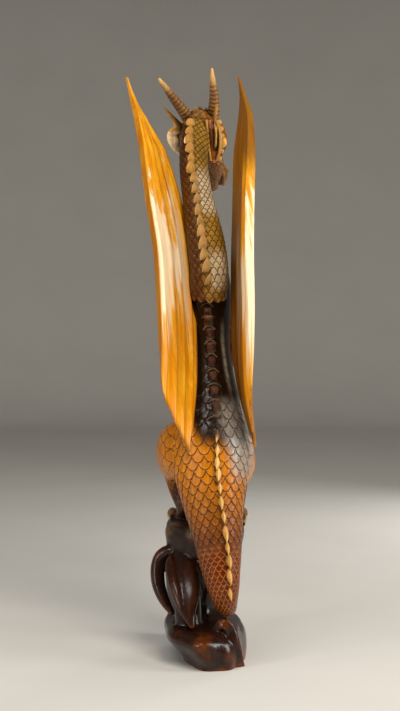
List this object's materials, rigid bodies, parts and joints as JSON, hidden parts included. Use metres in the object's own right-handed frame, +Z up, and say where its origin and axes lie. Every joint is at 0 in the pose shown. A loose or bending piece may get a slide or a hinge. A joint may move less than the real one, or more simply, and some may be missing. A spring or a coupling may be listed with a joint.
{
  "type": "dragon statue",
  "caption": "Slender scaled dragon carved in varnished wood, standing upright on a rock with raised wings, long arched neck and ridged tail, as a shelf ornament.",
  "frame": {"origin": "on the flat underside of the rock, below the dragon's spine", "axes": "+Z up, the dragon faces -Y, +X to the dragon's left"},
  "size_m": [0.1311, 0.2176, 0.5925],
  "materials": {
    "carved_wood": "semi-gloss varnish over brown stain",
    "wing_wood": "semi-gloss varnish over orange stain"
  },
  "bodies": {
    "root": {"dragon_and_rock": "carved_wood", "left_wing": "wing_wood", "right_wing": "wing_wood"}
  },
  "joints": []
}
